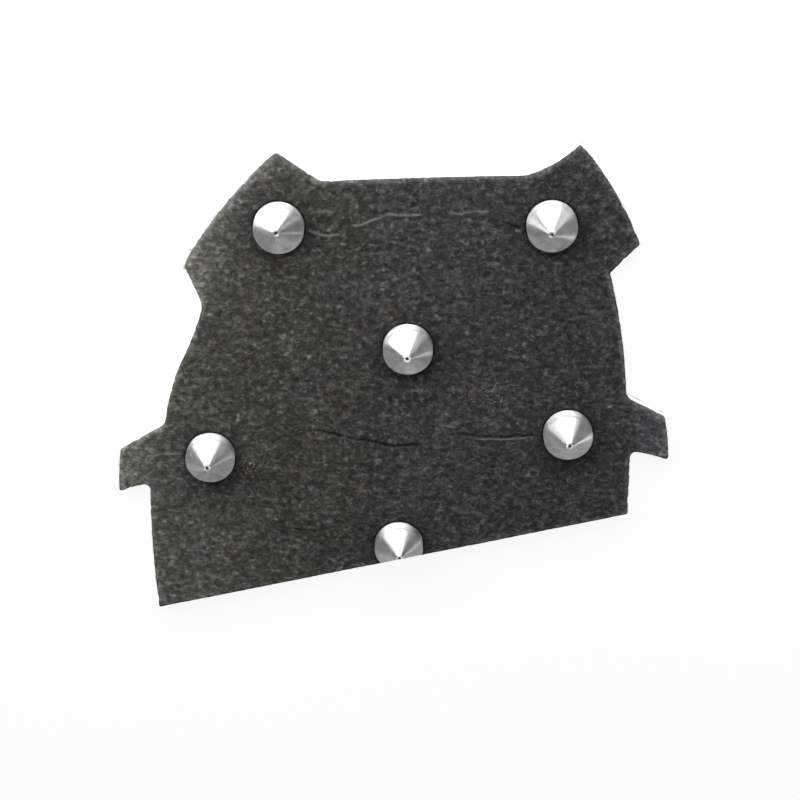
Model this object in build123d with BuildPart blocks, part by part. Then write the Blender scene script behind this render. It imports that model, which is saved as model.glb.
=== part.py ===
"""Snowboard stomp pad: a studded grip pad that sticks to the board between the bindings.

From the board up: a split release liner, an adhesive film, a closed-cell foam base and a felted
grip sheet. Six turned cone studs stand on the sheet, each held by a screw and a washer that are
sunk into the underside of the foam. One slanting cut trims the layers and the lowest stud.

Millimetres. +X is across the pad, +Y runs towards the two horns and +Z is up. The origin is at
the middle of the pad's outline, on the underside of the liner.
"""
from build123d import *
import math
import os

# ------------------------------------------------------------------ layers, from the board up
liner_thickness = 0.2
adhesive_thickness = 0.3
foam_thickness = 2.6
sheet_thickness = 1.2

sheet_edge_chamfer = 0.3  # the sheet's upper edge, eased by wear

# The liner is slit in a gentle wave, so that each half has somewhere to get a fingernail under.
slit_place = 1.0  # middle of the slit, across the pad
slit_width = 0.4
slit_wave_length = 60.0
slit_wave_bow = 3.0

# ------------------------------------------------------------------ cut outline
# Clockwise from the tip of the right horn. Each corner has its place across and along the pad,
# the bow of the edge that leaves it (outwards is positive) and its own rounding.
outline_corners = {
    "right_horn_tip": (46.2, 65.4, 1.3, 0.5),
    "right_horn_corner": (61.8, 39.1, 0.0, 0.5),
    "right_neck": (54.6, 31.3, 0.9, 0.5),
    "right_tab_root": (60.0, -3.4, 0.0, 3.0),
    "right_tab_top": (70.1, -8.9, 0.3, 1.0),
    "right_tab_tip": (71.6, -21.2, -0.4, 0.4),
    "right_tab_heel": (61.6, -18.6, 0.0, 1.6),
    "lower_right": (61.6, -37.0, 0.0, 0.4),
    "lower_left": (-62.6, -65.0, 0.5, 0.4),
    "left_tab_heel": (-63.5, -28.0, -0.3, 1.4),
    "left_tab_tip": (-71.6, -30.2, 0.2, 0.4),
    "left_tab_top": (-70.8, -18.2, 0.0, 1.4),
    "left_tab_root": (-58.9, -11.0, 0.6, 3.0),
    "left_flank": (-54.5, 5.8, -0.4, 8.0),
    "left_neck": (-48.0, 22.4, 0.0, 5.0),
    "left_horn_corner": (-52.5, 33.6, 1.4, 1.5),
    "left_horn_tip": (-28.9, 63.1, 0.0, 1.2),
    "top_left": (-18.0, 55.5, 0.2, 3.0),
    "top_right": (32.6, 57.0, -1.2, 3.0),
}

# ------------------------------------------------------------------ studs and where they stand
stud_diameter = 12.7
stud_rim_height = 3.3  # the straight band below the cone
stud_cone_height = 4.6  # from the band to the small flat land at the tip
stud_rim_break = 0.25
stud_land_diameter = 1.9
centre_mark_diameter = 0.8  # the small hole that the lathe's centre leaves in the land
centre_mark_depth = 0.5
stud_hole_depth = 4.4
stud_seat_depth = 0.3  # how far each stud is drawn down into the sheet
trim_lean = 28.0  # degrees that the flat on the edge stud leans back over the pad

stud_places = {
    "top_left": (-28.4, 44.1),
    "top_right": (39.6, 44.5),
    "centre": (3.8, 11.1),
    "lower_left": (-47.4, -19.6),
    "lower_right": (45.2, -13.1),
    "edge": (1.5, -45.7),
}

# ------------------------------------------------------------------ screws and washers, M3
screw_diameter = 3.0
screw_length = 6.0
screw_head_diameter = 6.0
screw_head_height = 0.8
screw_slot_width = 0.8
screw_slot_depth = 0.4

washer_diameter = 7.0
washer_bore = 3.2
washer_thickness = 0.5

seat_clearance = 0.1  # gap all round between a stud and its seat in the sheet
thread_clearance = 0.05  # gap all round between a screw and the bore of its stud
layer_clearance = 0.2  # gap all round between a screw and the holes in the soft layers
recess_clearance = 0.2  # gap all round between a washer and its recess
head_sink = 0.1  # how far a screw head stays above the foam's underside

# ------------------------------------------------------------------ levels that follow
adhesive_level = liner_thickness
foam_level = adhesive_level + adhesive_thickness
sheet_level = foam_level + foam_thickness
stud_level = sheet_level + sheet_thickness - stud_seat_depth

recess_diameter = washer_diameter + 2 * recess_clearance
recess_depth = head_sink + screw_head_height + washer_thickness
layer_hole_diameter = screw_diameter + 2 * layer_clearance
head_level = foam_level + head_sink
washer_level = head_level + screw_head_height

os.makedirs("parts", exist_ok=True)


# ------------------------------------------------------------------ shared sketches
def cut_outline(level):
    """The pad's cut outline as a face, at a level."""
    corners = list(outline_corners.values())
    with BuildSketch(Plane.XY.offset(level)) as outline:
        with BuildLine():
            for start, end in zip(corners, corners[1:] + corners[:1]):
                bow = start[2]
                if bow:
                    SagittaArc(start[:2], end[:2], bow)
                else:
                    Line(start[:2], end[:2])
        make_face()
        for x, y, _, rounding in corners:
            fillet(outline.vertices().sort_by_distance((x, y))[0], rounding)
    return outline.sketch


def rounds_under_studs(level, diameter):
    """A circle on the axis of every stud, at a level."""
    with BuildSketch(Plane.XY.offset(level)) as rounds:
        with Locations(*stud_places.values()):
            Circle(diameter / 2)
    return rounds.sketch


# ------------------------------------------------------------------ soft layers
with BuildPart() as grip_sheet:
    extrude(cut_outline(sheet_level), amount=sheet_thickness)
    chamfer(grip_sheet.faces().sort_by(Axis.Z)[-1].edges(), sheet_edge_chamfer)
    holes = rounds_under_studs(sheet_level, layer_hole_diameter)
    extrude(holes, amount=sheet_thickness, mode=Mode.SUBTRACT)
    seats = rounds_under_studs(stud_level, stud_diameter + 2 * seat_clearance)
    extrude(seats, amount=stud_seat_depth, mode=Mode.SUBTRACT)
grip_sheet.part.label = "grip_sheet"
export_step(grip_sheet.part, "parts/grip_sheet.step")

with BuildPart() as foam_base:
    extrude(cut_outline(foam_level), amount=foam_thickness)
    holes = rounds_under_studs(foam_level, layer_hole_diameter)
    extrude(holes, amount=foam_thickness, mode=Mode.SUBTRACT)
    recesses = rounds_under_studs(foam_level, recess_diameter)
    extrude(recesses, amount=recess_depth, mode=Mode.SUBTRACT)
foam_base.part.label = "foam_base"
export_step(foam_base.part, "parts/foam_base.step")

with BuildPart() as adhesive_film:
    extrude(cut_outline(adhesive_level), amount=adhesive_thickness)
    windows = rounds_under_studs(adhesive_level, recess_diameter)
    extrude(windows, amount=adhesive_thickness, mode=Mode.SUBTRACT)
adhesive_film.part.label = "adhesive_film"
export_step(adhesive_film.part, "parts/adhesive_film.step")


# ------------------------------------------------------------------ release liner
def slit_edge(side):
    """One edge of the wavy slit, far past the pad at both ends: -1 is the left half's."""
    across = slit_place + side * slit_width / 2
    last = math.ceil(max(abs(corner[1]) for corner in outline_corners.values()) / slit_wave_length)
    with BuildLine() as edge:
        for wave in range(-last, last):
            low, middle, high = (slit_wave_length * (wave + share) for share in (0, 0.5, 1))
            SagittaArc((across, low), (across, middle), slit_wave_bow)
            SagittaArc((across, middle), (across, high), -slit_wave_bow)
    return edge.line


def liner_half(side):
    """What lies on one side of the slit in the cut outline: -1 is left, 1 is right."""
    edge = slit_edge(side)
    far = side * max(abs(corner[0]) for corner in outline_corners.values()) * 2
    with BuildSketch() as half:
        with BuildLine():
            add(edge)
            Polyline(edge @ 1, (far, (edge @ 1).Y), (far, (edge @ 0).Y), edge @ 0)
        make_face()
        add(cut_outline(0), mode=Mode.INTERSECT)
    return half.sketch


for side, name in ((-1, "liner_left"), (1, "liner_right")):
    with BuildPart() as liner:
        extrude(liner_half(side), amount=liner_thickness)
    liner.part.label = name
    export_step(liner.part, f"parts/{name}.step")


# ------------------------------------------------------------------ studs
def lower_cut():
    """The slanting lower cut where it trims the edge stud. Its normal points off the pad."""
    left = Vector(*outline_corners["lower_left"][:2], stud_level)
    right = Vector(*outline_corners["lower_right"][:2], stud_level)
    along = (right - left).normalized()
    off_pad = along.rotate(Axis.Z, -90)
    return Plane(left, x_dir=along, z_dir=off_pad.rotate(Axis((0, 0, 0), along), -trim_lean))


for place, (x, y) in stud_places.items():
    radius, land_radius = stud_diameter / 2, stud_land_diameter / 2
    with BuildPart() as stud:
        upright = Plane((x, y, stud_level), x_dir=(1, 0, 0), z_dir=(0, -1, 0))
        with BuildSketch(upright) as profile:
            with BuildLine():
                Polyline(
                    (-radius, 0),
                    (-radius, stud_rim_height),
                    (-land_radius, stud_rim_height + stud_cone_height),
                    (land_radius, stud_rim_height + stud_cone_height),
                    (radius, stud_rim_height),
                    (radius, 0),
                    close=True,
                )
            make_face()
            chamfer(profile.vertices().group_by(Axis.Y)[1], stud_rim_break)
            split(bisect_by=Plane.YZ)
        revolve(axis=Axis((x, y, 0), (0, 0, 1)))
        with Locations((x, y, stud_level + stud_rim_height + stud_cone_height)):
            Hole(centre_mark_diameter / 2, centre_mark_depth)
        with Locations(Location((x, y, stud_level), (180, 0, 0))):
            Hole(screw_diameter / 2 + thread_clearance, stud_hole_depth)
        if place == "edge":
            split(bisect_by=lower_cut(), keep=Keep.BOTTOM)
    stud.part.label = f"stud_{place}"
    export_step(stud.part, f"parts/stud_{place}.step")


# ------------------------------------------------------------------ screws and washers
for place, spot in stud_places.items():
    with BuildPart() as screw:
        with BuildSketch(Plane.XY.offset(head_level)), Locations(spot):
            Circle(screw_head_diameter / 2)
        extrude(amount=screw_head_height)
        with BuildSketch(Plane.XY.offset(head_level)), Locations(spot):
            Rectangle(screw_head_diameter, screw_slot_width)
        extrude(amount=screw_slot_depth, mode=Mode.SUBTRACT)
        with BuildSketch(Plane.XY.offset(washer_level)), Locations(spot):
            Circle(screw_diameter / 2)
        extrude(amount=screw_length)
    screw.part.label = f"screw_{place}"
    export_step(screw.part, f"parts/screw_{place}.step")

    with BuildPart() as washer:
        with BuildSketch(Plane.XY.offset(washer_level)), Locations(spot):
            Circle(washer_diameter / 2)
            Circle(washer_bore / 2, mode=Mode.SUBTRACT)
        extrude(amount=washer_thickness)
    washer.part.label = f"washer_{place}"
    export_step(washer.part, f"parts/washer_{place}.step")
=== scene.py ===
"""The looks of the snowboard stomp pad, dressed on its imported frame.

The felted grip sheet, its foam, adhesive film and liner halves and the cone studs are surfaces
worked out here from the frame's own outlines and boxes. The screws and washers keep their solids
and get their finish. Lengths are in metres.
"""

import math

import bmesh
import bpy
import numpy as np
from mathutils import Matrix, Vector
from mathutils.geometry import delaunay_2d_cdt


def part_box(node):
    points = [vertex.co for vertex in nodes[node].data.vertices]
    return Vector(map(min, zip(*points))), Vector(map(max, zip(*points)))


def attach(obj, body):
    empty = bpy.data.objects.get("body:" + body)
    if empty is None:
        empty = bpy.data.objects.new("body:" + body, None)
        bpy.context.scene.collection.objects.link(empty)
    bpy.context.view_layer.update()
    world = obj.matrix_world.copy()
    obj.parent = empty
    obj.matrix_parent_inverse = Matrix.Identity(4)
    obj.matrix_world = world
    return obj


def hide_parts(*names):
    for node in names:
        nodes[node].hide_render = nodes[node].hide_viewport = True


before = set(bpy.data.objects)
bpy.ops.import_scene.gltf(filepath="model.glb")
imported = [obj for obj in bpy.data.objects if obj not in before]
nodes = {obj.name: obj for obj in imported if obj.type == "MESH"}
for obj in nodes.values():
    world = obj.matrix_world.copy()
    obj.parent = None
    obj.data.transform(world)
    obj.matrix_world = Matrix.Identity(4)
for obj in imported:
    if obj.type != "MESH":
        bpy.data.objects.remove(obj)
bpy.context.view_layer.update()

MM = 0.001
STUD_NODES = sorted(name for name in nodes if name.startswith("stud_"))

# ------------------------------------------------------------------ sizes, in metres
FELT_STEP = 0.42 * MM  # distance between the felt's surface points
CREASE_STEP = 0.24 * MM  # the same along a crease and round a stud, where the felt turns sharply
CREASE_REACH = 0.60 * MM
STUD_RING_REACH = 1.35 * MM
STUD_RING_POINTS = 140
WALL_STEP = 0.40 * MM  # distance between points along the cut edge
FELT_EDGE_SOFTENING = 0.55 * MM  # how far in from the cut edge the felt rolls over
FELT_EDGE_DROP = 0.30 * MM

STUD_GAP_WIDTH = 0.24 * MM  # the dark crack that the felt leaves round each stud
STUD_GAP_DEPTH = 0.60 * MM
STUD_LIP_HEIGHT = 0.09 * MM  # the felt pushed up beyond the crack
STUD_LIP_PLACE = 0.65 * MM

STUD_SHOULDER = 0.5 * MM  # rounding between a stud's straight band and its cone
STUD_BAND = 3.3 * MM
STUD_LAND_RADIUS = 0.95 * MM  # the small flat at the tip
STUD_LAND_EASING = 0.25 * MM  # rounding at the land's edge
STUD_MARK_RADIUS = 0.4 * MM  # the lathe's centre mark in the land
STUD_MARK_DEPTH = 0.9 * MM
STUD_BORE_RADIUS = 1.55 * MM
STUD_BORE_DEPTH = 4.4 * MM
TRIM_LEAN = math.radians(28.0)
STUD_COLUMNS = 144
STUD_LEANS = {  # how far each cone leans out of true towards +X and +Y, in degrees
    "stud_top_left": (-5.0, 12.0),
    "stud_top_right": (-4.0, 2.0),
    "stud_centre": (-2.5, 1.0),
    "stud_lower_left": (-5.0, 0.0),
    "stud_lower_right": (1.0, -3.0),
    "stud_edge": (2.0, -3.0),
}

LYING_HAIRS = 4200
TORN_HAIRS = 230  # more hairs in the torn patch beside the centre stud
TORN_PLACE = np.array([24.5, -3.0]) * MM
TORN_SPREAD = np.array([6.5, 5.0]) * MM
HAIR_KNOTS = 6
HAIR_CURL = 0.38  # how far a hair turns from one knot to the next, in radians

CAMERA_TARGET = Vector((1.8, -5.76, 0.0)) * MM
CAMERA_TILT = math.radians(25.0)
CAMERA_DISTANCE = 650.0 * MM
CAMERA_LENS = 112.9  # in millimetres, on a sensor 36 mm wide


# ------------------------------------------------------------------ reading the frame
def node_triangles(name):
    """A node's welded points and its triangles, as arrays."""
    mesh = nodes[name].data
    points = np.empty(len(mesh.vertices) * 3)
    mesh.vertices.foreach_get("co", points)
    mesh.calc_loop_triangles()
    corners = np.empty(len(mesh.loop_triangles) * 3, dtype=np.int32)
    mesh.loop_triangles.foreach_get("vertices", corners)
    welded, index = np.unique(np.round(points.reshape(-1, 3), 7), axis=0, return_inverse=True)
    return welded, index.reshape(-1)[corners].reshape(-1, 3)


def flat_face_loops(name, level):
    """The closed loops round a node's flat faces at a level, longest first, as (x, y) arrays.

    An edge that only one of the flat triangles uses is on a loop, and runs the way its
    triangle does.
    """
    points, triangles = node_triangles(name)
    flat = (np.abs(points[triangles][:, :, 2] - level) < 1e-6).all(axis=1)
    ends = np.concatenate([triangles[flat][:, [0, 1]], triangles[flat][:, [1, 2]],
                           triangles[flat][:, [2, 0]]])
    used = {tuple(edge) for edge in ends.tolist()}
    following = {a: b for a, b in used if (b, a) not in used}
    loops = []
    while following:
        start = min(following)
        chain = [start]
        while following[chain[-1]] != start:
            chain.append(following[chain[-1]])
        for point in chain:
            del following[point]
        loops.append(points[chain][:, :2])
    return sorted(loops, key=lambda loop: -loop_length(loop))


def loop_length(loop):
    """The length all round a closed loop of points."""
    return np.linalg.norm(np.roll(loop, -1, axis=0) - loop, axis=1).sum()


def signed_area(loop):
    """The area inside a closed loop of points, above 0 where it runs anticlockwise."""
    following = np.roll(loop, -1, axis=0)
    return (loop[:, 0] * following[:, 1] - loop[:, 1] * following[:, 0]).sum() / 2


def evenly_spaced(loop, step):
    """The same closed loop, anticlockwise, with points an even step apart along its length."""
    if signed_area(loop) < 0:
        loop = loop[::-1]
    closed = np.vstack([loop, loop[:1]])
    along = np.concatenate([[0], np.cumsum(np.linalg.norm(np.diff(closed, axis=0), axis=1))])
    wanted = np.linspace(0, along[-1], max(12, round(along[-1] / step)), endpoint=False)
    return np.stack([np.interp(wanted, along, closed[:, axis]) for axis in (0, 1)], axis=-1)


def outward(loop):
    """The outward direction at each point of an anticlockwise loop."""
    along = np.roll(loop, -1, axis=0) - np.roll(loop, 1, axis=0)
    normal = np.stack([along[:, 1], -along[:, 0]], axis=-1)
    return normal / np.linalg.norm(normal, axis=1)[:, None]


def loop_gap(points, loop, block=4000):
    """The distance from each point to the nearest of a loop's points."""
    gaps = [np.sqrt(((points[i:i + block, None] - loop[None]) ** 2).sum(axis=2).min(axis=1))
            for i in range(0, len(points), block)]
    return np.concatenate(gaps)


def inside_loop(points, loop, block=4000):
    """Which points lie inside a loop: a ray towards +X crosses it an odd number of times."""
    (x0, y0), (x1, y1) = loop.T, np.roll(loop, -1, axis=0).T
    found = []
    for i in range(0, len(points), block):
        x, y = points[i:i + block, 0, None], points[i:i + block, 1, None]
        level = (y0 > y) != (y1 > y)
        with np.errstate(divide="ignore", invalid="ignore"):
            ahead = x < x0 + (y - y0) * (x1 - x0) / (y1 - y0)
        found.append((level & ahead).sum(axis=1) % 2 == 1)
    return np.concatenate(found)


# ------------------------------------------------------------------ noise
def value_noise(x, y, cell, seed):
    """Smooth noise from -1 to 1: random values on a square lattice, eased between its corners."""
    table = np.random.default_rng(seed).uniform(-1, 1, (256, 256))
    gx, gy = x / cell, y / cell
    ix, iy = np.floor(gx).astype(int), np.floor(gy).astype(int)
    fx, fy = gx - ix, gy - iy
    fx, fy = fx * fx * (3 - 2 * fx), fy * fy * (3 - 2 * fy)

    def corner(dx, dy):
        return table[(ix + dx) % 256, (iy + dy) % 256]

    low = corner(0, 0) * (1 - fx) + corner(1, 0) * fx
    high = corner(0, 1) * (1 - fx) + corner(1, 1) * fx
    return low * (1 - fy) + high * fy


def layered_noise(x, y, cell, seed, layers=3):
    """Value noise summed over layers, each with half the cell and half the height before it."""
    total = sum(value_noise(x, y, cell / 2 ** k, seed + k) / 2 ** k for k in range(layers))
    return total / sum(0.5 ** k for k in range(layers))


def smooth_step(low, high, value):
    """0 below low, 1 above high and an eased rise between."""
    share = np.clip((value - low) / (high - low), 0, 1)
    return share * share * (3 - 2 * share)


# ------------------------------------------------------------------ building meshes
def make_piece(name, points, faces, material, body="pad", smooth=True):
    """A mesh object with its place in its mesh, a finish and a body to ride on."""
    mesh = bpy.data.meshes.new(name)
    mesh.from_pydata(points, [], faces)
    mesh.polygons.foreach_set("use_smooth", [smooth] * len(mesh.polygons))
    mesh.materials.append(material)
    mesh.update()
    piece = bpy.data.objects.new(name, mesh)
    bpy.context.scene.collection.objects.link(piece)
    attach(piece, body)
    return piece


def triangulate(loops, inner):
    """Triangles that fill the first loop around the others, through all the inner points.

    Points come back as the loops' points in order, then the inner ones.
    """
    points = np.vstack([*loops, inner])
    starts = np.cumsum([0] + [len(loop) for loop in loops])
    rings = [list(range(a, b)) for a, b in zip(starts[:-1], starts[1:])]
    found = delaunay_2d_cdt([Vector(p) for p in points.tolist()], [], rings, 2, 1e-9)
    assert len(found[0]) == len(points)
    return points, found[2]


def layer_mesh(loops, inner, top, walls, bottom):
    """A closed plate with holes.

    The top is triangulated through the inner points and raised by top(x, y). Each loop's wall
    goes down through the rows that walls(k) gives, as (outward shift, height) arrays, where k
    is the loop's number, and the flat underside closes it at the height bottom.
    """
    flat_points, upper = triangulate(loops, inner)
    heights = top(flat_points[:, 0], flat_points[:, 1])
    points = [np.column_stack([flat_points, heights])]
    faces = [tuple(face) for face in upper]
    count = len(flat_points)
    start = 0
    lowest = []
    for k, loop in enumerate(loops):
        ring = np.arange(start, start + len(loop))
        start += len(loop)
        direction = outward(loop) * (1 if k == 0 else -1)
        above = ring
        for shift, height in walls(k):
            row = np.column_stack([loop + direction * np.reshape(shift, (-1, 1)),
                                   np.broadcast_to(height, len(loop))])
            points.append(row)
            below = np.arange(count, count + len(loop))
            count += len(loop)
            quads = np.stack([above, below, np.roll(below, -1), np.roll(above, -1)], axis=-1)
            if k:
                quads = quads[:, ::-1]
            faces += [tuple(quad) for quad in quads.tolist()]
            above = below
        lowest.append(above)
    rims = [np.vstack(points)[ring][:, :2] for ring in lowest]
    _, under = triangulate(rims, np.empty((0, 2)))
    index = np.concatenate(lowest)
    faces += [tuple(int(index[corner]) for corner in face[::-1]) for face in under]
    return np.vstack(points), faces


def set_attribute(piece, name, values):
    """A number for every point of a piece, for its finish to read."""
    attribute = piece.data.attributes.new(name, "FLOAT", "POINT")
    attribute.data.foreach_set("value", np.asarray(values, dtype=np.float32))


# ------------------------------------------------------------------ finishes
def new_material(name, colour, roughness, metallic=0.0):
    """A material, its node tree's nodes and links, and its shader."""
    material = bpy.data.materials.new(name)
    material.use_nodes = True
    material.diffuse_color = (*colour, 1.0)
    tree = material.node_tree
    shader = tree.nodes["Principled BSDF"]
    shader.inputs["Base Color"].default_value = (*colour, 1.0)
    shader.inputs["Roughness"].default_value = roughness
    shader.inputs["Metallic"].default_value = metallic
    return material, tree, shader


def add_node(tree, kind, inputs=None, **settings):
    """A shader node with its settings. Each input is a socket to read or a value to hold."""
    node = tree.nodes.new("ShaderNode" + kind)
    for name, value in settings.items():
        setattr(node, name, value)
    for name, value in (inputs or {}).items():
        if isinstance(value, bpy.types.NodeSocket):
            tree.links.new(value, node.inputs[name])
        else:
            node.inputs[name].default_value = value
    return node


def place_texture(tree, scale=(1.0, 1.0, 1.0), turn=0.0):
    """Object coordinates, turned about Z and stretched."""
    place = add_node(tree, "TexCoord").outputs["Object"]
    mapping = {"Vector": place, "Scale": scale, "Rotation": (0.0, 0.0, turn)}
    return add_node(tree, "Mapping", mapping).outputs["Vector"]


def noise(tree, vector, scale, detail=3.0, roughness=0.55, distortion=0.0):
    """A noise texture's value. Scale counts its blotches to the metre."""
    return add_node(tree, "TexNoise", {
        "Vector": vector, "Scale": scale, "Detail": detail, "Roughness": roughness,
        "Distortion": distortion}).outputs["Fac"]


def ramp(tree, value, stops):
    """A colour ramp through (place, colour) stops."""
    node = add_node(tree, "ValToRGB", {"Fac": value})
    elements = node.color_ramp.elements
    while len(elements) < len(stops):
        elements.new(0.5)
    for element, (place, colour) in zip(elements, stops):
        element.position = place
        element.color = (*colour, 1.0)
    return node.outputs["Color"]


def grey_ramp(tree, value, low, high, start=0.0, end=1.0):
    """A value stretched so that low becomes the start and high becomes the end."""
    return add_node(tree, "MapRange", {
        "Value": value, "From Min": low, "From Max": high, "To Min": start,
        "To Max": end}).outputs["Result"]


def mixed(tree, share, first, second, blend="MIX"):
    """A colour between two, each a socket or three numbers."""
    first, second = (colour if isinstance(colour, bpy.types.NodeSocket) else (*colour, 1.0)
                     for colour in (first, second))
    return add_node(tree, "Mix", {"Factor": share, 6: first, 7: second}, data_type="RGBA",
                    blend_type=blend).outputs[2]


def multiplied(tree, first, second):
    """One colour times another."""
    return mixed(tree, 1.0, first, second, blend="MULTIPLY")


def part_of(tree, vector, axis):
    """The X, Y or Z of a vector."""
    return add_node(tree, "SeparateXYZ", {"Vector": vector}).outputs[axis]


def combined(tree, operation, first, second):
    """A sum, product or the like of two values, each a socket or a number."""
    return add_node(tree, "Math", {0: first, 1: second}, operation=operation).outputs["Value"]


def times(tree, first, second):
    """One value times another."""
    return combined(tree, "MULTIPLY", first, second)


def plus(tree, first, second):
    """One value plus another."""
    return combined(tree, "ADD", first, second)


def minus(tree, first, second):
    """One value less another."""
    return combined(tree, "SUBTRACT", first, second)


def attribute(tree, name):
    """A number that the piece carries at its points."""
    return add_node(tree, "Attribute", attribute_name=name).outputs["Fac"]


def bump(tree, shader, height, distance, strength=1.0):
    """Raise the shader's surface by a value times a distance."""
    raised = add_node(tree, "Bump", {"Height": height, "Strength": strength, "Distance": distance})
    tree.links.new(raised.outputs["Normal"], shader.inputs["Normal"])


STREAK_STRETCH = (0.56, 0.78, 1.0)


def felt_finish():
    """Matted dark fibres: soft clumps crossed by streaks that lean both ways, in charcoal.

    Where the piece's dust and left light is high the nap is paler, partly from dust and partly as
    painted light from the left, and where its scuff is high it is torn up and more hairs show.
    Ridges are rubbed pale, furrows get painted shadow, and painted shade darkens the nap round the
    studs. Painted light turns the colour lighter and olive at the left, darker and slate at the right.
    """
    material, tree, shader = new_material("charcoal_felt", (0.045, 0.043, 0.038), 0.95)
    shader.inputs["Specular IOR Level"].default_value = 0.12
    flat = place_texture(tree)
    clumps = noise(tree, flat, 760.0, detail=1.3, roughness=0.5, distortion=0.6)
    left = place_texture(tree, STREAK_STRETCH, math.radians(28))
    right = place_texture(tree, STREAK_STRETCH, math.radians(-34))
    streaks = plus(tree, noise(tree, left, 1050.0, detail=1.5, distortion=0.5),
                   noise(tree, right, 980.0, detail=1.5, distortion=0.5))
    patches = noise(tree, flat, 110.0)
    grain = plus(tree, times(tree, clumps, 0.40), times(tree, streaks, 0.30))
    grain = plus(tree, grain, times(tree, minus(tree, patches, 0.5), 0.10))
    body = ramp(tree, grain, [
        (0.36, (0.017, 0.0168, 0.0150)),
        (0.45, (0.029, 0.0286, 0.0255)),
        (0.52, (0.043, 0.0425, 0.0380)),
        (0.60, (0.073, 0.0722, 0.0650)),
        (0.72, (0.160, 0.157, 0.143)),
    ])
    dust_and_left_light_colour = ramp(tree, grain, [
        (0.36, (0.075, 0.075, 0.071)),
        (0.50, (0.150, 0.150, 0.143)),
        (0.66, (0.34, 0.34, 0.33)),
    ])
    hairs = stray_hairs(tree, 420.0, 0.020, 0.53)
    torn = stray_hairs(tree, 520.0, 0.045, 0.44)
    # Paler nap where there is dust, and where light from the left is painted in.
    colour = mixed(tree, attribute(tree, "dust_and_left_light"), body, dust_and_left_light_colour)
    colour = mixed(tree, hairs, colour, (0.13, 0.128, 0.117))
    colour = mixed(tree, times(tree, torn, attribute(tree, "scuff")), colour, (0.30, 0.26, 0.22))
    # Rubbed pale ridges, painted shadow in the furrows and painted shade round the studs.
    for name, share, laid_over in (
        ("ridge", 0.75, (0.22, 0.215, 0.20)),
        ("painted_furrow_shade", 0.85, (0.006, 0.006, 0.005)),
        ("painted_shade_near_studs", 0.60, (0.008, 0.008, 0.007)),
    ):
        colour = mixed(tree, times(tree, attribute(tree, name), share), colour, laid_over)
    # Painted light: the felt lighter and olive at the left, darker and slate at the right.
    side = plus(tree, grey_ramp(tree, part_of(tree, flat, "X"), -0.045, 0.055),
                minus(tree, patches, 0.5))
    painted_side_light = ramp(tree, side, [(0.25, (1.03, 1.03, 0.965)), (0.8, (0.86, 0.875, 0.99))])
    casts = ramp(tree, noise(tree, flat, 260.0, detail=1.0), [
        (0.36, (1.03, 0.99, 0.975)), (0.5, (1.0, 1.0, 1.0)), (0.64, (0.975, 1.01, 1.02))])
    colour = multiplied(tree, multiplied(tree, colour, painted_side_light), casts)
    tree.links.new(colour, shader.inputs["Base Color"])
    bump(tree, shader, plus(tree, grain, times(tree, hairs, 0.25)), 0.40 * MM, 0.8)
    return material


def stray_hairs(tree, scale, width, share):
    """Short curly lines: where warped noise crosses its middle, kept only inside some patches."""
    flat = place_texture(tree)
    warped = noise(tree, flat, scale, detail=1.0, distortion=1.6)
    near = combined(tree, "ABSOLUTE", minus(tree, warped, 0.5), 0.0)
    line = grey_ramp(tree, near, width, 0.0)
    patch = grey_ramp(tree, noise(tree, flat, scale * 1.9, detail=1.0), share, share + 0.1)
    return times(tree, line, patch)


def fibre_finish():
    """Loose fibres: most of them charcoal, some rubbed pale, and a few of a rusty thread."""
    material, tree, shader = new_material("loose_fibre", (0.14, 0.135, 0.12), 0.9)
    shader.inputs["Specular IOR Level"].default_value = 0.15
    colour = ramp(tree, attribute(tree, "tone"), [
        (0.0, (0.045, 0.044, 0.039)), (0.55, (0.10, 0.098, 0.088)), (0.88, (0.26, 0.255, 0.24)),
        (0.95, (0.50, 0.49, 0.46)), (1.0, (0.42, 0.25, 0.16))])
    tree.links.new(colour, shader.inputs["Base Color"])
    bump(tree, shader, noise(tree, place_texture(tree), 9000.0), 0.01 * MM, 0.4)
    return material


def foam_finish():
    """White closed-cell foam: fine cut cells, and dark grey dashes along the foot of the wall, more of them
    towards the right.
    """
    material, tree, shader = new_material("white_foam", (0.90, 0.90, 0.89), 0.8)
    shader.inputs["Specular IOR Level"].default_value = 0.3
    flat = place_texture(tree)
    pits = add_node(tree, "TexVoronoi", {"Vector": flat, "Scale": 3200.0}).outputs["Distance"]
    colour = ramp(tree, pits, [(0.0, (0.80, 0.80, 0.78)), (0.5, (0.93, 0.93, 0.92))])
    # Dark grey dashes along the foot of the wall, more of them towards the right.
    foot = grey_ramp(tree, part_of(tree, flat, "Z"), foam_low.z + 0.75 * MM,
                     foam_low.z + 0.45 * MM)
    upright = place_texture(tree, scale=(1, 1, 0.2))
    dashes = grey_ramp(tree, noise(tree, upright, 650.0, detail=2.0), 0.47, 0.56)
    side = grey_ramp(tree, part_of(tree, flat, "X"), 0.015, 0.050)
    share = times(tree, times(tree, foot, dashes), plus(tree, times(tree, side, 0.8), 0.2))
    colour = mixed(tree, share, colour, (0.22, 0.215, 0.21))
    tree.links.new(colour, shader.inputs["Base Color"])
    bump(tree, shader, pits, 0.12 * MM, 0.5)
    return material


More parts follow.
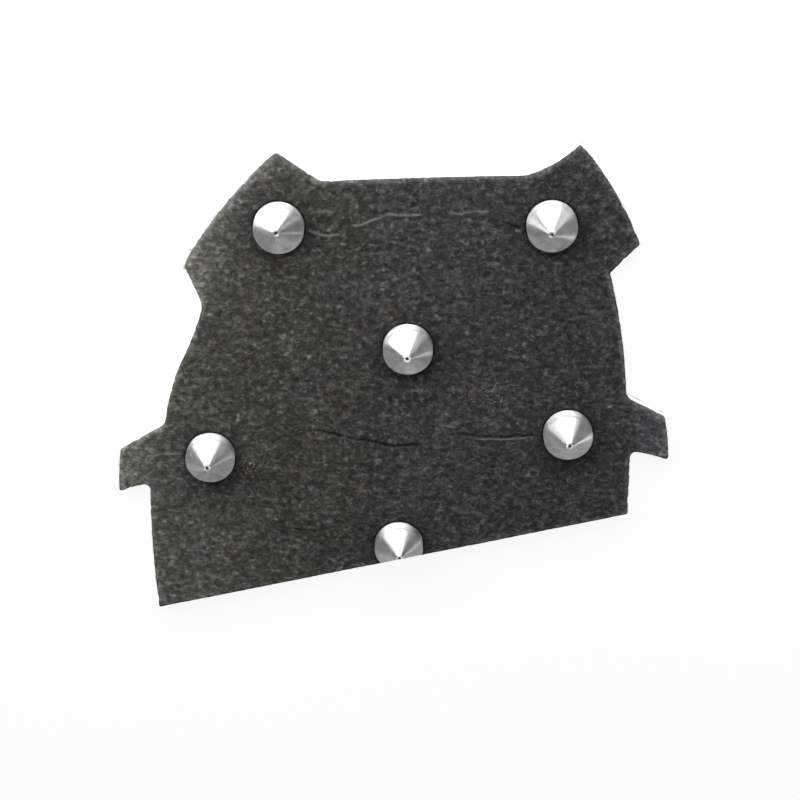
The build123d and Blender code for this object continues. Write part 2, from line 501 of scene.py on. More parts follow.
def turned_metal_finish():
    """Turned aluminium. The tool's fine rings spread each highlight up the cone, not round it.

    The piece's own numbers say where the turning is coarse, such as on the band, where painted shade
    darkens the centre mark, and where the foot and the bore are darker. Streaks of handling run from the tip to
    the band.
    """
    material, tree, shader = new_material("turned_aluminium", (0.80, 0.80, 0.79), 0.55, 1.0)
    shader.inputs["Anisotropic"].default_value = 0.95
    shader.inputs["Anisotropic Rotation"].default_value = 0.25
    turning = add_node(tree, "UVMap", uv_map="turning").outputs["UV"]
    along = add_node(tree, "Mapping", {"Vector": turning, "Scale": (0.0, 9.0, 1.0)})
    rings = noise(tree, along.outputs["Vector"], 1.0, detail=5.0, roughness=0.75)
    heading = add_node(tree, "Attribute", attribute_name="heading").outputs["Vector"]
    streaks = noise(tree, heading, 2.6, roughness=0.6)
    clouds = noise(tree, place_texture(tree), 420.0)
    tone = plus(tree, times(tree, streaks, 0.45),
                plus(tree, times(tree, clouds, 0.35), times(tree, rings, 0.20)))
    colour = ramp(tree, tone, [(0.36, (0.58, 0.58, 0.57)), (0.5, (0.80, 0.80, 0.79)),
                               (0.62, (0.94, 0.94, 0.93))])
    # Painted shade darkens the centre mark; the foot of the band and the bore are darker too.
    colour = mixed(tree, attribute(tree, "painted_mark_shade_and_dark_foot"), colour, (0.04, 0.04, 0.038))
    tree.links.new(colour, shader.inputs["Base Color"])
    wear = times(tree, minus(tree, clouds, 0.5), 0.3)
    tree.links.new(plus(tree, attribute(tree, "coarse"), wear), shader.inputs["Roughness"])
    tangent = add_node(tree, "Tangent", direction_type="UV_MAP", uv_map="turning")
    tree.links.new(tangent.outputs["Tangent"], shader.inputs["Tangent"])
    bump(tree, shader, rings, 0.010 * MM, 0.3)
    return material


def steel_finish():
    """Plated steel for the screws and washers, with a faint cloudy dulling."""
    material, tree, shader = new_material("plated_steel", (0.58, 0.58, 0.59), 0.35, 1.0)
    clouds = noise(tree, place_texture(tree), 900.0, detail=4.0)
    colour = ramp(tree, clouds, [(0.3, (0.44, 0.44, 0.45)), (0.7, (0.66, 0.66, 0.67))])
    tree.links.new(colour, shader.inputs["Base Color"])
    tree.links.new(grey_ramp(tree, clouds, -0.4, 1.8), shader.inputs["Roughness"])
    bump(tree, shader, clouds, 0.02 * MM, 0.4)
    return material


def adhesive_finish():
    """Milky tacky film over a fine scrim of crossed threads."""
    material, tree, shader = new_material("adhesive_film", (0.78, 0.76, 0.68), 0.25)
    shader.inputs["Coat Weight"].default_value = 0.4
    flat = place_texture(tree)
    threads = [add_node(tree, "TexWave", {"Vector": flat, "Scale": 420.0},
                        bands_direction=axis).outputs["Fac"] for axis in ("X", "Y")]
    scrim = combined(tree, "MAXIMUM", *threads)
    colour = ramp(tree, scrim, [(0.6, (0.74, 0.72, 0.63)), (1.0, (0.84, 0.83, 0.78))])
    tree.links.new(colour, shader.inputs["Base Color"])
    bump(tree, shader, scrim, 0.03 * MM, 0.4)
    return material


def liner_finish():
    """Waxy release paper: cream, with faint fibres and a soft sheen."""
    material, tree, shader = new_material("release_paper", (0.82, 0.79, 0.71), 0.42)
    fibres = noise(tree, place_texture(tree, scale=(1.0, 0.3, 1.0)), 900.0, detail=5.0)
    clouds = noise(tree, place_texture(tree), 60.0)
    tone = plus(tree, times(tree, fibres, 0.5), times(tree, clouds, 0.5))
    colour = ramp(tree, tone, [(0.35, (0.76, 0.72, 0.63)), (0.65, (0.86, 0.84, 0.77))])
    tree.links.new(colour, shader.inputs["Base Color"])
    bump(tree, shader, fibres, 0.02 * MM, 0.5)
    return material


# ------------------------------------------------------------------ the felted grip sheet
stud_axes = {name: (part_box(name)[0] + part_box(name)[1]) / 2 for name in STUD_NODES}
sheet_low, sheet_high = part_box("grip_sheet")
stud_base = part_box("stud_centre")[0].z
stud_radius = (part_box("stud_centre")[1].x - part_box("stud_centre")[0].x) / 2
foam_low, foam_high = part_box("foam_base")

sheet_loops = flat_face_loops("grip_sheet", sheet_low.z)
cut_outline = sheet_loops[0]
screw_holes = sheet_loops[1:]
stud_centres = [loop.mean(axis=0) for loop in screw_holes]


def creases():
    """The sheet's creases: points along each, height (down is negative) and half-width."""
    def ridge(points, height, width):
        return np.array(points) * MM, height * MM, width * MM

    return [
        ridge([(-21.5, 43.1), (-19.2, 42.3), (-16.3, 41.3), (-12.7, 41.9)], 0.20, 0.30),
        ridge([(-20.9, 47.1), (-19.1, 47.8), (-16.6, 48.1), (-14.4, 47.3)], 0.14, 0.35),
        ridge([(-11.2, 44.0), (-8.7, 44.1), (-6.9, 44.8), (-3.7, 46.1), (-0.8, 47.2),
               (2.0, 46.9), (8.5, 47.1)], 0.20, 0.28),
        ridge([(14.2, 47.7), (17.2, 47.1), (19.9, 48.1), (24.3, 47.7)], 0.16, 0.28),
        ridge([(27.0, 45.2), (28.3, 44.8), (32.3, 43.4)], -0.30, 0.30),
        ridge([(30.4, 42.9), (31.4, 42.7), (32.4, 42.8)], 0.20, 0.35),
        ridge([(-21.5, -12.5), (-18.9, -12.7), (-13.7, -14.0), (-9.9, -15.0), (-5.1, -15.8),
               (0.1, -17.0), (5.2, -16.7), (8.7, -16.4)], -0.42, 0.34),
        ridge([(16.0, -13.3), (19.1, -13.8), (23.3, -14.1), (27.7, -14.6), (32.0, -14.0),
               (37.2, -13.8)], -0.34, 0.28),
        ridge([(20.7, -14.9), (25.9, -15.0), (32.9, -14.8), (36.0, -14.0)], 0.18, 0.24),
        ridge([(11.6, -10.9), (16.8, -11.7)], 0.14, 0.25),
        ridge([(-64.2, -20.1), (-59.2, -19.2), (-54.3, -18.9)], 0.16, 0.30),
        ridge([(-26.2, -41.2), (-19.0, -42.0)], -0.36, 0.30),
        ridge([(-40.6, -37.4), (-39.0, -38.3)], -0.30, 0.32),
        ridge([(-30.8, -39.3), (-28.4, -39.6)], -0.26, 0.30),
    ]


def crease_line(points):
    """A line through a crease's points, close-set and wandering a little."""
    along = np.concatenate([[0], np.cumsum(np.linalg.norm(np.diff(points, axis=0), axis=1))])
    wanted = np.arange(0, along[-1], CREASE_STEP)
    line = np.stack([np.interp(wanted, along, points[:, axis]) for axis in (0, 1)], axis=-1)
    line[:, 1] += layered_noise(line[:, 0], line[:, 1], 2.0 * MM, 31) * 0.25 * MM
    return line


crease_lines = [(crease_line(points), height, width) for points, height, width in creases()]


def crease_height(x, y):
    """Every crease as a rounded ridge or furrow that fades at its ends and comes and goes."""
    height = np.zeros_like(x)
    places = np.column_stack([x, y])
    broken = 0.7 + 0.3 * value_noise(x, y, 2.0 * MM, 47)
    for line, rise, width in crease_lines:
        reach = np.ptp(line, axis=0) / 2 + 4 * width
        close = (np.abs(places - (line.min(axis=0) + line.max(axis=0)) / 2) < reach).all(axis=1)
        gaps = np.sqrt(((places[close][:, None] - line[None]) ** 2).sum(axis=2))
        share = gaps.argmin(axis=1) / (len(line) - 1)
        fade = smooth_step(0, 0.12, share) * smooth_step(0, 0.12, 1 - share)
        height[close] += rise * fade * np.exp(-(gaps.min(axis=1) / width) ** 2)
    return height * broken


def stud_gap(x, y):
    """The distance from each place to the nearest stud's edge, below 0 under the stud."""
    gaps = [np.hypot(x - centre[0], y - centre[1]) for centre in stud_centres]
    return np.min(gaps, axis=0) - stud_radius


def felt_height(x, y):
    """The sheet's upper surface.

    The flat sheet, with a narrow crack and a pushed-up lip round each stud, rolled over at the
    cut edge, creased, and roughened by fine layered noise.
    """
    edge = loop_gap(np.column_stack([x, y]), outline)
    rolled = np.clip(1 - edge / FELT_EDGE_SOFTENING, 0, 1) ** 2
    near = np.clip(stud_gap(x, y), 0, None)
    crack = STUD_GAP_DEPTH * np.exp(-(near / STUD_GAP_WIDTH) ** 2)
    lip = STUD_LIP_HEIGHT * np.exp(-((near - STUD_LIP_PLACE) / (0.3 * MM)) ** 2)
    waves = layered_noise(x, y, 14 * MM, 5) * 0.10 * MM
    grain = layered_noise(x * 0.8, y, 1.3 * MM, 11) * 0.11 * MM
    height = sheet_high.z + waves + grain + crease_height(x, y) + lip - crack
    height -= rolled * FELT_EDGE_DROP
    return np.where(stud_gap(x, y) < -0.12 * MM, stud_base - 0.02 * MM, height)


def dust_and_left_light_amount(x, y):
    """How pale the nap is: dust together with painted light from the left on the left side, its horn and tab, the
    right tab paler, and dust at the cut rim and in a few specks.
    """
    edge = loop_gap(np.column_stack([x, y]), outline)
    # Painted light from the left, together with dust, pales the left side, its lower and upper corners, the horn
    # and the tab.
    left = smooth_step(-30 * MM, -74 * MM, x)
    lower_left = smooth_step(-20 * MM, -50 * MM, x) * smooth_step(-24 * MM, -48 * MM, y)
    upper_left = smooth_step(-36 * MM, -52 * MM, x) * smooth_step(12 * MM, 30 * MM, y)
    horn = np.exp(-edge / (2.4 * MM)) * smooth_step(-20 * MM, -34 * MM, x) * smooth_step(
        18 * MM, 34 * MM, y)
    tab = smooth_step(-58 * MM, -70 * MM, x) * smooth_step(-44 * MM, -32 * MM, y)
    right_tab = smooth_step(58 * MM, 72 * MM, x) * 0.40
    worn = 0.5 + 0.5 * value_noise(x, y, 2.4 * MM, 57)
    cut = np.exp(-(edge / (0.9 * MM)) ** 2) * (0.25 + 0.40 * worn)
    specks = smooth_step(0.66, 0.95, value_noise(x, y, 0.8 * MM, 71)) * 0.5
    return np.clip(0.18 * left + 0.14 * lower_left + 0.12 * upper_left + 0.60 * horn + 0.40 * tab
                   + right_tab + cut + specks, 0, 1)


def scuff_amount(x, y):
    """Where the nap is torn up: a patch beside the centre stud, and a smaller one at the left."""
    patch = np.exp(-((x - TORN_PLACE[0]) / TORN_SPREAD[0]) ** 2
                   - ((y - TORN_PLACE[1]) / TORN_SPREAD[1]) ** 2)
    small = np.exp(-((x + 37 * MM) / (3.5 * MM)) ** 2 - ((y + 22.5 * MM) / (2.0 * MM)) ** 2)
    return np.clip(1.3 * patch + 1.1 * small, 0, 1)


def near_lower_cut(points, reach):
    """Which points lie within a reach of the pad's slanting lower cut."""
    return np.abs((points - lower_cut[0]) @ lower_cut[1]) < reach


def felt_edge_wander(loop):
    """How far the cut edge wanders out and in: most along the left horn, with nicks all round."""
    x, y = loop.T
    frayed = smooth_step(-24 * MM, -34 * MM, x) * smooth_step(30 * MM, 36 * MM, y)
    amount = 0.09 * MM + frayed * 0.20 * MM
    nicks = smooth_step(0.45, 0.85, value_noise(x, y, 1.4 * MM, 19)) * 0.22 * MM
    return np.where(near_lower_cut(loop, 0.5 * MM), 0.2, 1.0) * (amount * layered_noise(x, y, 1.1 * MM, 3) - nicks)


def felt_points(holes):
    """Points over the sheet: a jittered field, closer rows on the creases and rings at studs."""
    (x0, y0), (x1, y1) = outline.min(axis=0), outline.max(axis=0)
    columns, rows = np.meshgrid(np.arange(x0, x1, FELT_STEP), np.arange(y0, y1, FELT_STEP))
    jitter = np.random.default_rng(2).uniform(-0.3, 0.3, (columns.size, 2)) * FELT_STEP
    field = np.column_stack([columns.ravel(), rows.ravel()]) + jitter
    field = field[loop_gap(field, np.vstack([line for line, _, _ in crease_lines])) > CREASE_REACH]
    half_reach = STUD_RING_REACH / 2
    field = field[np.abs(stud_gap(*field.T) - half_reach) > half_reach + 0.15 * MM]
    beside = np.arange(-2, 3)[:, None, None] * CREASE_STEP
    creased = np.vstack([(line + beside * open_normal(line)).reshape(-1, 2)
                         for line, _, _ in crease_lines])
    creased = creased[stud_gap(*creased.T) > STUD_RING_REACH + 0.1 * MM]
    turn = np.linspace(0, 2 * math.pi, STUD_RING_POINTS, endpoint=False)
    around = np.stack([np.cos(turn), np.sin(turn)], axis=-1)
    gaps = np.array([-0.16, -0.06, 0.08, 0.20, 0.34, 0.50, 0.68, 0.90, 1.20]) * MM
    ringed = (stud_radius + gaps)[:, None, None] * around
    points = np.vstack([field, creased, *[(ringed + centre).reshape(-1, 2)
                                          for centre in stud_centres]])
    points = points[inside_loop(points, outline)]
    points = points[loop_gap(points, outline) > 0.6 * FELT_STEP]
    for hole in holes:
        centre, radius = hole.mean(axis=0), np.ptp(hole[:, 0]) / 2
        points = points[np.hypot(*(points - centre).T) > radius + 0.6 * FELT_STEP]
    return points


def open_normal(line):
    """The direction across an open line at each of its points."""
    along = np.gradient(line, axis=0)
    across = np.stack([-along[:, 1], along[:, 0]], axis=-1)
    return across / np.linalg.norm(across, axis=1)[:, None]


def build_felt():
    """The felted sheet: a closed plate with a hole under each stud for its screw."""
    holes = [evenly_spaced(loop, WALL_STEP) for loop in screw_holes]

    def walls(k):
        if k:
            return [(0.0, sheet_low.z)]
        bulge = layered_noise(outline[:, 0], outline[:, 1], 0.8 * MM, 9) * 0.04 * MM
        heights = np.linspace(sheet_high.z - FELT_EDGE_DROP, sheet_low.z, 6)[1:]
        return [(bulge + 0.05 * MM * math.sin(math.pi * (row + 1) / 5), height)
                for row, height in enumerate(heights)]

    points, faces = layer_mesh([outline, *holes], felt_points(holes), felt_height, walls,
                               sheet_low.z)
    felt = make_piece("felt_grip_sheet", points, faces, felt_finish())
    x, y = points[:, 0], points[:, 1]
    crease = crease_height(x, y)
    set_attribute(felt, "dust_and_left_light", dust_and_left_light_amount(x, y))
    set_attribute(felt, "scuff", scuff_amount(x, y))
    # Ridges are rubbed pale; the furrows get painted shadow.
    set_attribute(felt, "ridge", np.clip(crease / (0.16 * MM), 0, 1))
    set_attribute(felt, "painted_furrow_shade", np.clip(-crease / (0.24 * MM), 0, 1))
    # Painted shade darkens the nap round each stud, and a darker patch beside the centre stud is added to it.
    beside_centre = np.exp(-((x - 20 * MM) / (11 * MM)) ** 2 - ((y - 1 * MM) / (9 * MM)) ** 2)
    painted_shade_near_studs = np.exp(-np.clip(stud_gap(x, y), 0, None) / (2.2 * MM))
    set_attribute(felt, "painted_shade_near_studs", np.clip(painted_shade_near_studs + 0.30 * beside_centre, 0, 1))
    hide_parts("grip_sheet")
    return felt


# The pad's slanting lower cut is the longest straight run of its outline: a point on it, and the
# level direction across it.
cut_runs = np.roll(cut_outline, -1, axis=0) - cut_outline
longest_run = np.linalg.norm(cut_runs, axis=1).argmax()
lower_cut = (cut_outline[longest_run],
             np.array([cut_runs[longest_run, 1], -cut_runs[longest_run, 0]])
             / np.linalg.norm(cut_runs[longest_run]))
outline = evenly_spaced(cut_outline, WALL_STEP)
outline = outline + outward(outline) * felt_edge_wander(outline)[:, None]
felt = build_felt()


# ------------------------------------------------------------------ loose fibres on the felt
def fibre_tubes(starts, headings, lengths, radii, rise, seed):
    """Curled hairs as thin three-sided tubes.

    Each hair has six points a sixth of its length apart. It turns a random amount at each, so it
    curls, and its height follows rise(x, y, share). Two rings of three corners bound each stretch,
    and a triangle closes each end.
    """
    count, knots = len(starts), HAIR_KNOTS
    rng = np.random.default_rng(seed)
    turns = np.cumsum(rng.normal(0, HAIR_CURL, (count, knots)), axis=1) + headings[:, None]
    steps = np.stack([np.cos(turns), np.sin(turns)], axis=-1) * (lengths / knots)[:, None, None]
    path = starts[:, None] + np.concatenate(
        [np.zeros((count, 1, 2)), np.cumsum(steps, axis=1)[:, :-1]], axis=1)
    share = np.broadcast_to(np.linspace(0, 1, knots), (count, knots))
    height = rise(path[..., 0].ravel(), path[..., 1].ravel(), share.ravel()).reshape(count, knots)
    taper = radii[:, None] * (1 - 0.6 * share ** 2)
    across = np.stack([-np.sin(turns), np.cos(turns)], axis=-1)
    corners = np.radians([90.0, 210.0, 330.0])
    ring = np.concatenate([
        path[:, :, None] + across[:, :, None] * (taper[..., None] * np.cos(corners))[..., None],
        (height[..., None] + taper[..., None] * np.sin(corners))[..., None]], axis=-1)
    index = np.arange(count * knots * 3).reshape(count, knots, 3)
    here, there = index[:, :-1], index[:, 1:]
    sides = np.stack([here, np.roll(here, -1, axis=2), np.roll(there, -1, axis=2), there], axis=-1)
    ends = np.concatenate([index[:, 0, ::-1], index[:, -1]])
    return ring.reshape(-1, 3), sides.reshape(-1, 4).tolist() + ends.tolist(), knots * 3


def build_fibres():
    """Loose fibres: curled hairs lying on the nap, thickest in the scuffs, and a frayed fringe."""
    rng = np.random.default_rng(8)
    (x0, y0), (x1, y1) = outline.min(axis=0), outline.max(axis=0)
    scattered = rng.uniform((x0, y0), (x1, y1), (LYING_HAIRS, 2))
    torn = rng.normal(TORN_PLACE, TORN_SPREAD, (TORN_HAIRS, 2))
    lying = np.vstack([scattered, torn])
    lying = lying[inside_loop(lying, outline) & (stud_gap(*lying.T) > 0.8 * MM)]
    lying = lying[loop_gap(lying, outline) > 0.8 * MM]

    along = np.arange(len(outline))
    x, y = outline.T
    frayed = smooth_step(-22 * MM, -34 * MM, x) * smooth_step(28 * MM, 36 * MM, y)
    chance = np.where(near_lower_cut(outline, 0.6 * MM), 0.02, 0.16 + 0.84 * frayed)
    picked = np.repeat(along, 9)
    picked = picked[rng.uniform(0, 1, len(picked)) < chance[picked]]
    out = outward(outline)[picked]
    edge = outline[picked] - out * rng.uniform(0.05, 0.5, (len(picked), 1)) * MM
    fringe_heading = np.arctan2(out[:, 1], out[:, 0]) + rng.normal(0, 0.7, len(picked))

    starts = np.vstack([lying, edge])
    headings = np.concatenate([rng.uniform(-math.pi, math.pi, len(lying)), fringe_heading])
    lengths = np.concatenate([rng.uniform(0.6, 1.7, len(lying)),
                              rng.uniform(0.35, 0.75, len(edge)) + 0.7 * frayed[picked]]) * MM
    radii = np.concatenate([rng.uniform(0.028, 0.055, len(lying)),
                            rng.uniform(0.018, 0.034, len(edge))]) * MM

    def rise(x, y, share):
        inside = inside_loop(np.column_stack([x, y]), outline)
        resting = np.where(inside, felt_height(x, y), sheet_high.z - FELT_EDGE_DROP * 1.4)
        return resting + (0.035 + 0.10 * share * (1 - share)) * MM

    points, faces, corners = fibre_tubes(starts, headings, lengths, radii, rise, 12)
    fibres = make_piece("loose_fibres", points, faces, fibre_finish())
    tone = rng.beta(1.6, 2.4, len(starts))
    tone[len(lying):] = np.clip(tone[len(lying):] * 0.6 + 0.55 * frayed[picked], 0, 0.94)
    set_attribute(fibres, "tone", np.repeat(tone, corners))
    return fibres


fibres = build_fibres()


# ------------------------------------------------------------------ the foam base
def build_foam():
    """The foam: cut a little proud in the middle of its wall, recessed below for each washer."""
    loops = flat_face_loops("foam_base", foam_low.z)
    rim = evenly_spaced(loops[0], WALL_STEP)
    recesses = [evenly_spaced(loop, WALL_STEP) for loop in loops[1:]]
    wall_rows = 7

    def walls(k):
        if k:
            return [(0.0, foam_low.z)]
        share = np.arange(1, wall_rows + 1) / wall_rows
        cells = layered_noise(rim[:, 0], rim[:, 1], 0.9 * MM, 83) * 0.03 * MM
        return [(cells + 0.06 * MM * math.sin(math.pi * s),
                 foam_high.z + (foam_low.z - foam_high.z) * s) for s in share]

    points, faces = layer_mesh([rim, *recesses], np.empty((0, 2)),
                               lambda x, y: np.full_like(x, foam_high.z), walls, foam_low.z)
    foam = make_piece("cut_foam_base", points, faces, foam_finish(), smooth=False)
    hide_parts("foam_base")
    return foam


foam = build_foam()


# ------------------------------------------------------------------ the turned studs
def rounded_corner(before, corner, after, radius, steps):
    """The points of an arc of a radius that touches both runs of a corner."""
    before, corner, after = (np.array(point, dtype=float) for point in (before, corner, after))
    back = (before - corner) / np.linalg.norm(before - corner)
    on = (after - corner) / np.linalg.norm(after - corner)
    half = math.acos(np.clip(back @ on, -1, 1)) / 2
    centre = corner + (back + on) / np.linalg.norm(back + on) * radius / math.sin(half)
    start = corner + back * radius / math.tan(half) - centre
    end = corner + on * radius / math.tan(half) - centre
    sweep = math.pi - 2 * half
    share = np.linspace(0, 1, steps)[:, None]
    arc = (np.sin((1 - share) * sweep) * start + np.sin(share * sweep) * end) / math.sin(sweep)
    return centre + arc


def stud_profile():
    """A stud's outline as (radius, height, coarseness, painted mark shade and dark foot) rows, from its bore to
    its tip.

    A straight band, an arc into the cone, the cone's straight slope, a small flat land and the
    lathe's centre mark in it. The band is turned coarser than the cone, the land is faced fine,
    the foot and the bore are darker, and painted shade darkens the mark.
    """
    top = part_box("stud_centre")[1].z - stud_base
    foot, rim = (stud_radius, 0), (stud_radius, STUD_BAND)
    land, mark = (STUD_LAND_RADIUS, top), (STUD_MARK_RADIUS, top)
    shoulder = rounded_corner(foot, rim, land, STUD_SHOULDER, 7)
    easing = rounded_corner(rim, land, mark, STUD_LAND_EASING, 5)
    band = [(stud_radius, h) for h in np.linspace(0, shoulder[0, 1], 6)[:-1]]
    slope = [shoulder[-1] * (1 - s) + easing[0] * s for s in np.linspace(0, 1, 16)[1:-1]]
    bore = [(0, STUD_BORE_DEPTH), (STUD_BORE_RADIUS, STUD_BORE_DEPTH), (STUD_BORE_RADIUS, 0)]
    deep = [(STUD_MARK_RADIUS * 0.85, top - STUD_MARK_DEPTH), (0, top - STUD_MARK_DEPTH * 1.2)]
    stretches = [  # points, coarseness, painted mark shade and dark foot
        # Painted shade in the centre mark; the foot of the band and the bore are darker.
        (bore, 0.5, 0.3),
        (band[:1], 0.66, 0.6), (band[1:], 0.66, 0.0), (shoulder, 0.60, 0.0), (slope, 0.44, 0.0),
        (easing, 0.34, 0.0), ([mark], 0.30, 0.35), (deep, 0.6, 1.0),
    ]
    return np.vstack([np.column_stack([np.array(points), np.full(len(points), coarse),
                                       np.full(len(points), painted_mark_shade_and_dark_foot)])
                      for points, coarse, painted_mark_shade_and_dark_foot in stretches])


def lower_cut_plane():
    """A point on the pad's slanting lower cut and the direction that points off the pad.

    Above the sheet the cut leans back over the pad.
    """
    off_pad = Vector((*lower_cut[1], 0.0)) * (-1 if lower_cut[1][1] > 0 else 1)
    normal = off_pad * math.cos(TRIM_LEAN) + Vector((0.0, 0.0, 1.0)) * math.sin(TRIM_LEAN)
    return Vector((*lower_cut[0], stud_base)), normal


def build_stud(node, finish):
    """A profile carried round the stud's axis. Across it u counts turns, and v the way along.

    A point's shift sideways is its height above the band times the tangent of the cone's lean, so
    the band stays in its seat, and the bore stays true to its screw.
    """
    columns = STUD_COLUMNS
    rows = stud_profile()
    bore_rows = 3
    axis = np.array(stud_axes[node])[:2]
    centre = stud_centres[np.argmin([np.hypot(*(place - axis)) for place in stud_centres])]
    angle = np.linspace(0, 2 * math.pi, columns, endpoint=False)
    around = np.stack([np.cos(angle), np.sin(angle)], axis=-1)
    ring_rows = rows[1:-1]
    count = len(ring_rows)
    lean = np.tan(np.radians(STUD_LEANS[node]))
    above = np.clip(rows[:, 1] - STUD_BAND, 0, None)
    leaning = np.where(np.arange(1, count + 1) < bore_rows, 0.0, above[1:-1])
    ring = ring_rows[:, None, 0, None] * around + (leaning[:, None] * lean)[:, None]
    heights = np.broadcast_to(ring_rows[:, 1, None, None], (count, columns, 1))
    points = np.concatenate([ring, heights], axis=2).reshape(-1, 3)
    tip_shift = above[-1] * lean
    points = np.vstack([points, [0, 0, rows[0, 1]], [*tip_shift, rows[-1, 1]]])
    points += np.array([*centre, stud_base])
    grid = np.arange(count * columns).reshape(-1, columns)
    quads = np.stack([grid[:-1], np.roll(grid[:-1], -1, axis=1),
                      np.roll(grid[1:], -1, axis=1), grid[1:]], axis=-1).reshape(-1, 4)
    bore_top, tip = len(points) - 2, len(points) - 1
    following = np.roll(grid, -1, axis=1)
    caps = [np.stack([np.full(columns, bore_top), following[0], grid[0]], axis=-1),
            np.stack([np.full(columns, tip), grid[-1], following[-1]], axis=-1)]
    faces = quads.tolist() + np.vstack(caps).tolist()
    stud = make_piece("turned_" + node, points, faces, finish)
    for name, column in (("coarse", 2), ("painted_mark_shade_and_dark_foot", 3)):
        values = np.concatenate([np.repeat(ring_rows[:, column], columns), rows[[0, -1], column]])
        set_attribute(stud, name, values)
    seed = 7.0 * STUD_NODES.index(node)
    heading = np.zeros((len(points), 3))
    heading[:-2, :2] = np.tile(around, (count, 1))
    heading[:, 2] = seed + points[:, 2] / (9 * MM)
    streaked = stud.data.attributes.new("heading", "FLOAT_VECTOR", "POINT")
    streaked.data.foreach_set("vector", heading.ravel())
    steps = np.linalg.norm(np.diff(rows[:, :2], axis=0), axis=1)
    turning_map(stud, columns, np.concatenate([[0], np.cumsum(steps)]) / MM)
    if node == "stud_edge":
        trim(stud)
    stud.data.polygons.foreach_set("use_smooth", [True] * len(stud.data.polygons))
    sharpen(stud, math.radians(32))
    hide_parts(node)
    return stud


def turning_map(stud, columns, along):
    """The map that the turned finish reads: u is the share of a turn, v millimetres of profile."""
    layer = stud.data.uv_layers.new(name="turning")
    corners = np.empty(len(stud.data.loops), dtype=np.int32)
    stud.data.loops.foreach_get("vertex_index", corners)
    rings = (len(stud.data.vertices) - 2) // columns
    row = np.minimum(corners // columns + 1, rings + 1)
    u = (corners % columns) / columns
    v = along[np.minimum(row, len(along) - 1)]
    poles = corners >= rings * columns
    v = np.where(corners == rings * columns, along[0], v)
    starts = np.empty(len(stud.data.polygons), dtype=np.int32)
    stud.data.polygons.foreach_get("loop_start", starts)
    sizes = np.empty(len(stud.data.polygons), dtype=np.int32)
    stud.data.polygons.foreach_get("loop_total", sizes)
    face = np.repeat(np.arange(len(starts)), sizes)
    highest = np.maximum.reduceat(np.where(poles, 0, u), starts)
    u = np.where((highest[face] > 0.9) & (u < 0.1), u + 1, u)
    u = np.where(poles, highest[face], u)
    layer.data.foreach_set("uv", np.column_stack([u, v]).ravel().astype(np.float32))


def trim(stud):
    """Cut the stud by the pad's lower cut and close the flat that is left."""
    place, normal = lower_cut_plane()
    shape = bmesh.new()
    shape.from_mesh(stud.data)
    everything = shape.verts[:] + shape.edges[:] + shape.faces[:]
    cut = bmesh.ops.bisect_plane(shape, geom=everything, plane_co=place, plane_no=normal,
                                 clear_outer=True)
    edges = [item for item in cut["geom_cut"] if isinstance(item, bmesh.types.BMEdge)]
    bmesh.ops.contextual_create(shape, geom=edges)
    shape.to_mesh(stud.data)
    shape.free()


def sharpen(piece, angle):
    """Mark edges sharp where the surface turns by more than an angle."""
    shape = bmesh.new()
    shape.from_mesh(piece.data)
    for edge in shape.edges:
        if len(edge.link_faces) == 2 and edge.calc_face_angle(0.0) > angle:
            edge.smooth = False
    shape.to_mesh(piece.data)
    shape.free()


turned_metal = turned_metal_finish()
for stud_node in STUD_NODES:
    build_stud(stud_node, turned_metal)


# ------------------------------------------------------------------ the film and liner below
def build_layer(name, node, material, body):
    """A thin layer cut to its node's outline, with every hole that its node has."""
    low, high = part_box(node)
    loops = [evenly_spaced(loop, WALL_STEP) for loop in flat_face_loops(node, low.z)]
    points, faces = layer_mesh(loops, np.empty((0, 2)), lambda x, y: np.full_like(x, high.z),
                               lambda k: [(0.0, low.z)], low.z)
    layer = make_piece(name, points, faces, material, body, smooth=False)
    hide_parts(node)
    return layer


build_layer("tacky_film", "adhesive_film", adhesive_finish(), "pad")
paper = liner_finish()
for side in ("left", "right"):
    build_layer(f"peel_paper_{side}", f"liner_{side}", paper, f"liner_{side}")

steel = steel_finish()
for name in nodes:
    if name.startswith(("screw_", "washer_")):
        nodes[name].data.materials.clear()
        nodes[name].data.materials.append(steel)


# ------------------------------------------------------------------ floor, light and camera
def build_floor():
    """A wide pale floor. The camera sees it nearly white, with the pad's soft shadow on it."""
    mesh = bpy.data.meshes.new("floor")
    reach = 3.0
    corners = [(-reach, -reach, 0), (reach, -reach, 0), (reach, reach, 0), (-reach, reach, 0)]
    mesh.from_pydata(corners, [], [(0, 1, 2, 3)])
    floor = bpy.data.objects.new("floor", mesh)
    bpy.context.scene.collection.objects.link(floor)
    material, tree, shader = new_material("pale_floor", (0.92, 0.92, 0.92), 0.9)
    glow = add_node(tree, "Emission", {"Strength": 1.0})
    path = add_node(tree, "LightPath")
    seen = combined(tree, "MAXIMUM", path.outputs["Is Camera Ray"],
                    combined(tree, "MAXIMUM", path.outputs["Is Glossy Ray"],
                             path.outputs["Is Transmission Ray"]))
    mix = add_node(tree, "MixShader", {
        "Fac": times(tree, seen, 0.91), 1: shader.outputs["BSDF"], 2: glow.outputs["Emission"]})
    tree.links.new(mix.outputs["Shader"], tree.nodes["Material Output"].inputs["Surface"])
    mesh.materials.append(material)


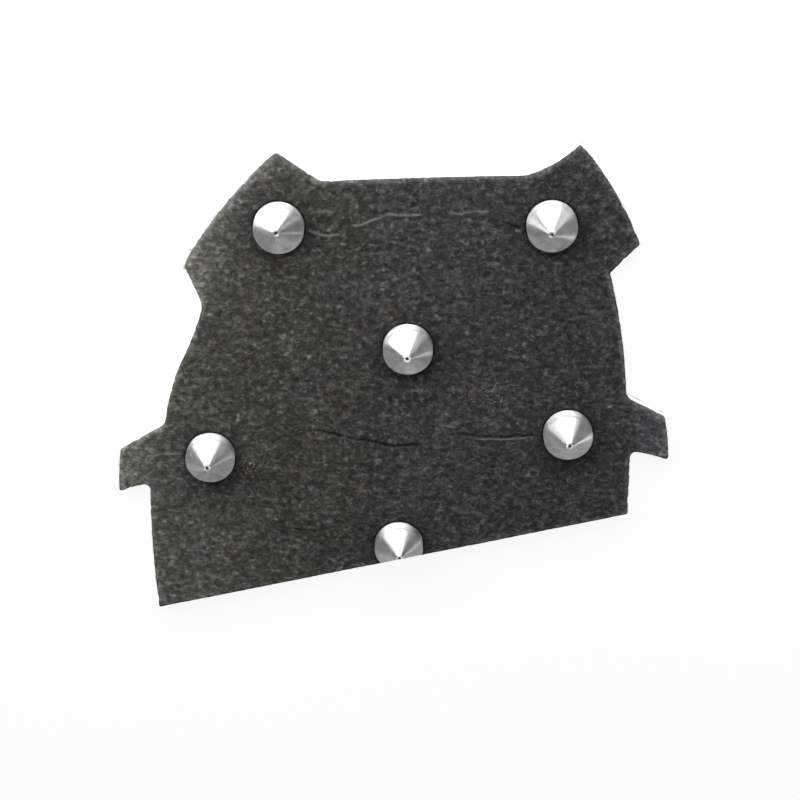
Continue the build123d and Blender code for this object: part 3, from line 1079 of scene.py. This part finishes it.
def build_world():
    """Even pale surroundings that brighten from the horizon up and towards the left."""
    world = bpy.data.worlds.new("studio")
    bpy.context.scene.world = world
    world.use_nodes = True
    tree = world.node_tree
    background = tree.nodes["Background"]
    direction = add_node(tree, "TexCoord").outputs["Generated"]
    rise = grey_ramp(tree, part_of(tree, direction, "Z"), 0.0, 1.0, 0.06, 0.22)
    across = grey_ramp(tree, part_of(tree, direction, "X"), -1.0, 1.0, 1.40, 0.60)
    tree.links.new(times(tree, rise, across), background.inputs["Strength"])
    background.inputs["Color"].default_value = (1.0, 1.0, 1.0, 1.0)


def add_panel(name, place, aim, size, power):
    """A rectangular light at a place, turned to face an aim point."""
    light = bpy.data.lights.new(name, "AREA")
    light.shape = "RECTANGLE"
    light.size, light.size_y = size
    light.energy = power
    lamp = bpy.data.objects.new(name, light)
    lamp.location = place
    lamp.rotation_euler = (Vector(aim) - Vector(place)).to_track_quat("-Z", "Y").to_euler()
    bpy.context.scene.collection.objects.link(lamp)


def add_camera():
    """The camera leans back from straight above towards the horns, which are up in its view."""
    camera_data = bpy.data.cameras.new("camera")
    camera_data.sensor_width = 36.0
    camera_data.lens = CAMERA_LENS
    camera = bpy.data.objects.new("camera", camera_data)
    back = Vector((0.0, math.sin(CAMERA_TILT), math.cos(CAMERA_TILT)))
    camera.location = CAMERA_TARGET + back * CAMERA_DISTANCE
    camera.rotation_euler = (-CAMERA_TILT, 0.0, 0.0)
    bpy.context.scene.collection.objects.link(camera)
    bpy.context.scene.camera = camera


build_floor()
build_world()
add_panel("window", (-0.06, 0.40, 0.25), (0.0, 0.0, 0.0), (0.76, 0.34), 4.1)
add_panel("left_card", (-0.15, 0.068, 0.062), (-0.03, 0.03, 0.0), (0.09, 0.08), 0.105)
add_panel("right_card", (0.130, 0.104, 0.050), (0.042, 0.041, 0.0), (0.06, 0.04), 0.024)
add_panel("right_strip", (0.158, -0.054, 0.025), (0.03, 0.0, 0.0), (0.02, 0.05), 0.012)
add_panel("ceiling", (0.0, -0.275, 0.59), (0.0, 0.0, 0.0), (0.15, 0.15), 0.28)
add_camera()
bpy.context.scene.view_settings.view_transform = "Standard"
